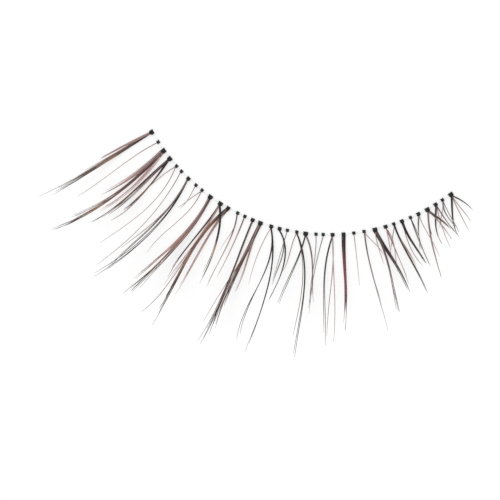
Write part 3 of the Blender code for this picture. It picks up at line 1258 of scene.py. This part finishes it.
    def core_ring(
        self, shape: bmesh.types.BMesh, share: float, hole: bool = False
    ) -> list[bmesh.types.BMVert]:
        """Add one ring of the core.

        Args:
            shape: what the ring goes in.
            share: where it is along the knot, from 0 to 1.
            hole: whether it lies round the thread's hole, and not on the outside.

        Returns:
            The ring's points.
        """
        size, wall, high = self.lock.knot.value, self.hair_radius, self.line.thread_height
        swell = 0.0 if hole else math.sqrt(max(0.0, 1.0 - (2.0 * share - 1.0) ** 2))
        tight = self.line.hole_radius + (0.0 if hole else wall)
        ring = []
        for side in range(self.core_sides):
            turn = 2 * math.pi * side / self.core_sides
            near = Vector((math.cos(turn) * tight, high + math.sin(turn) * tight))
            full_y = high - size.depth / 2 + math.cos(turn) * (size.depth / 2 - wall)
            full_z = size.height / 2 + math.sin(turn) * (size.height / 2 - wall)
            spot = near.lerp(Vector((full_y, full_z)), swell)
            ring.append(shape.verts.new(((share - 0.5) * (size.length - 2 * wall), *spot)))
        return ring


class KnotRecipe(Recipe):
    """Winds a hair round the thread: a spiral that swells in front and on top.

    Attributes:
        steps: points of the spiral for each turn.
        sides: number of sides of the hair.
    """

    steps: int = 14
    sides: int = 6

    def __init__(self) -> None:
        """Build the tree."""
        super().__init__("knot_winding")
        turns = self.ask("Turns")
        unit = {"Start Radius": 1.0, "End Radius": 1.0, "Height": 1.0}
        inputs = {"Resolution": self.steps, "Rotations": turns, **unit}
        spiral = self.node("GeometryNodeCurveSpiral", inputs=inputs)
        place = self.node("GeometryNodeInputPosition")
        cos, sin, share = place.part("X"), place.part("Y"), place.part("Z")
        hair, hole, high = self.ask("Hair Radius"), self.ask("Hole Radius"), self.ask("Thread Height")
        length, depth, height = self.ask("Length"), self.ask("Depth"), self.ask("Height")
        swell = (1.0 - (share * 2.0 - 1.0) ** 2.0).math("MAXIMUM", 0.0).math("SQRT")
        tight = hole + hair
        full_y = high - depth * 0.5 + cos * (depth * 0.5 - hair)
        full_z = height * 0.5 + sin * (height * 0.5 - hair)
        y = cos * tight * (1.0 - swell) + full_y * swell
        z = (high + sin * tight) * (1.0 - swell) + full_z * swell
        inputs = {"X": (share - 0.5) * length, "Y": y, "Z": z}
        wound = self.node("ShaderNodeCombineXYZ", inputs=inputs)
        inputs = {"Geometry": spiral, "Position": wound}
        spiral = self.node("GeometryNodeSetPosition", inputs=inputs)
        tube = self.sweep(spiral, hair, self.sides)
        self.close(self.keep(tube, "knot", 1.0, "POINT"))


class ThreadRecipe(Recipe):
    """Draws the clear thread round along the arc.

    Attributes:
        sides: number of sides of the thread.
    """

    sides: int = 14

    def __init__(self) -> None:
        """Build the tree."""
        super().__init__("thread_tube")
        path = self.node("GeometryNodeMeshToCurve", inputs={"Mesh": self.source})
        self.close(self.sweep(path, self.ask("Thread Radius"), self.sides))


@dataclass
class Thread:
    """The clear thread that all the knots are tied on.

    Attributes:
        line: the arc that it follows.
        tail: length past each end knot.
        steps: steps of its centre line.
    """

    line: LidLine
    tail: float = 0.0003
    steps: int = 160

    def build(self, recipe: Recipe, material: bpy.types.Material) -> bpy.types.Object:
        """Make the thread as one object.

        Args:
            recipe: makes the round thread.
            material: the thread's material.

        Returns:
            The finished object.
        """
        tail = self.tail / self.line.radius
        first, step = self.line.angle(0.0) - tail, (self.line.turn + 2 * tail) / self.steps
        points = [self.line.point(first + step * index).to_3d() for index in range(self.steps + 1)]
        for point in points:
            point.z = self.line.thread_height
        mesh = bpy.data.meshes.new("route")
        mesh.from_pydata(points, [(index, index + 1) for index in range(self.steps)], [])
        tube = recipe.make(mesh, {"Thread Radius": self.line.thread_radius, "Material": material})
        return join_meshes("clear_thread", [tube])


def join_meshes(name: str, meshes: list[bpy.types.Mesh]) -> bpy.types.Object:
    """Join meshes into one object at the origin.

    Args:
        name: name of the object.
        meshes: the meshes, already in place.

    Returns:
        The object, linked to the scene.
    """
    parts = [bpy.data.objects.new(name, mesh) for mesh in meshes]
    for part in parts:
        bpy.context.scene.collection.objects.link(part)
    if len(parts) > 1:
        with bpy.context.temp_override(active_object=parts[0], selected_editable_objects=parts):
            bpy.ops.object.join()
    parts[0].name = parts[0].data.name = name
    return parts[0]


@dataclass(frozen=True)
class Studio:
    """The white table, the soft light and the camera straight above.

    Attributes:
        roll: turn of the camera, which tilts the strip in the picture.
        lens: focal length in millimetres.
        sensor: width of the sensor in millimetres.
        view_width: width that the picture shows.
        clip_ratio: how much nearer and farther than the strip the camera sees.
        table_size: width of the table.
        table_drop: how far the table lies under the knots.
        world_strength: strength of the light from all round.
        key_power: power of the lamp.
        key_size: width of the lamp.
        key_place: where the lamp hangs.
    """

    roll: float = math.radians(11.757)
    lens: float = 150.0
    sensor: float = 36.0
    view_width: float = 0.0465
    clip_ratio: float = 100.0
    table_size: float = 2.0
    table_drop: float = 0.00001
    world_strength: float = 1.0
    key_power: float = 0.55
    key_size: float = 0.30
    key_place: tuple[float, float, float] = (-0.22, 0.18, 0.38)

    def build(self) -> None:
        """Set the table, the light and the camera."""
        self.build_table()
        self.build_light()
        self.build_camera()
        bpy.context.scene.view_settings.view_transform = "Standard"

    def build_table(self) -> None:
        """Lay the white table just under the knots."""
        half, low = self.table_size / 2, -self.table_drop
        corners = [(-half, -half, low), (half, -half, low), (half, half, low), (-half, half, low)]
        mesh = bpy.data.meshes.new("table")
        mesh.from_pydata(corners, [], [(0, 1, 2, 3)])
        mesh.materials.append(TableFinish().material())
        table = bpy.data.objects.new("table", mesh)
        bpy.context.scene.collection.objects.link(table)
        table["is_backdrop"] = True

    def build_light(self) -> None:
        """Light everything evenly, a little more from the upper left."""
        world = bpy.data.worlds.new("studio")
        world.use_nodes = True
        background = world.node_tree.nodes["Background"]
        background.inputs["Color"].default_value = WHITE
        background.inputs["Strength"].default_value = self.world_strength
        bpy.context.scene.world = world
        lamp = bpy.data.lights.new("key", "AREA")
        lamp.energy = self.key_power
        lamp.size = self.key_size
        key = bpy.data.objects.new("key", lamp)
        key.location = self.key_place
        key.rotation_mode = "QUATERNION"
        key.rotation_quaternion = (-key.location).to_track_quat("-Z", "Y")
        bpy.context.scene.collection.objects.link(key)

    def build_camera(self) -> None:
        """Hang the camera over the middle of the strip."""
        low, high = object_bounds()
        centre = (low + high) / 2
        eye = bpy.data.cameras.new("camera")
        eye.lens = self.lens
        eye.sensor_width = self.sensor
        distance = self.view_width * self.lens / self.sensor
        eye.clip_start, eye.clip_end = distance / self.clip_ratio, distance * self.clip_ratio
        camera = bpy.data.objects.new("camera", eye)
        camera.location = (centre.x, centre.y, distance)
        camera.rotation_euler = (0.0, 0.0, self.roll)
        bpy.context.scene.collection.objects.link(camera)
        bpy.context.scene.camera = camera


def declare(piece: bpy.types.Object, node: str) -> None:
    """Say what a piece rides on and stands for, and report it.

    Args:
        piece: the finished object.
        node: name of the CAD node that it stands for.
    """
    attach(piece, BODY)
    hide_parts(node)
    piece.data.calc_loop_triangles()
    LOG.info("%s: %d triangles, for %s", piece.name, len(piece.data.loop_triangles), node)


def main() -> None:
    """Build the strip and its studio."""
    line = LidLine()
    Studio().build()
    thread_finish = ThreadFinish()
    thread = Thread(line).build(ThreadRecipe(), thread_finish.material())
    declare(thread, "band")
    hair_recipe, knot_recipe = HairRecipe(), KnotRecipe()
    dyes = {tone: finish.material() for tone, finish in FINISHES.items()}
    for number, lock in enumerate(LOCKS, start=1):
        piece = LashLock(number, lock, line).build(hair_recipe, knot_recipe, dyes[lock.tone])
        declare(piece, f"lash_lock_{number:02d}")


if __name__ == "__main__":
    logging.basicConfig(level=logging.INFO, format="%(name)s: %(message)s")
    main()
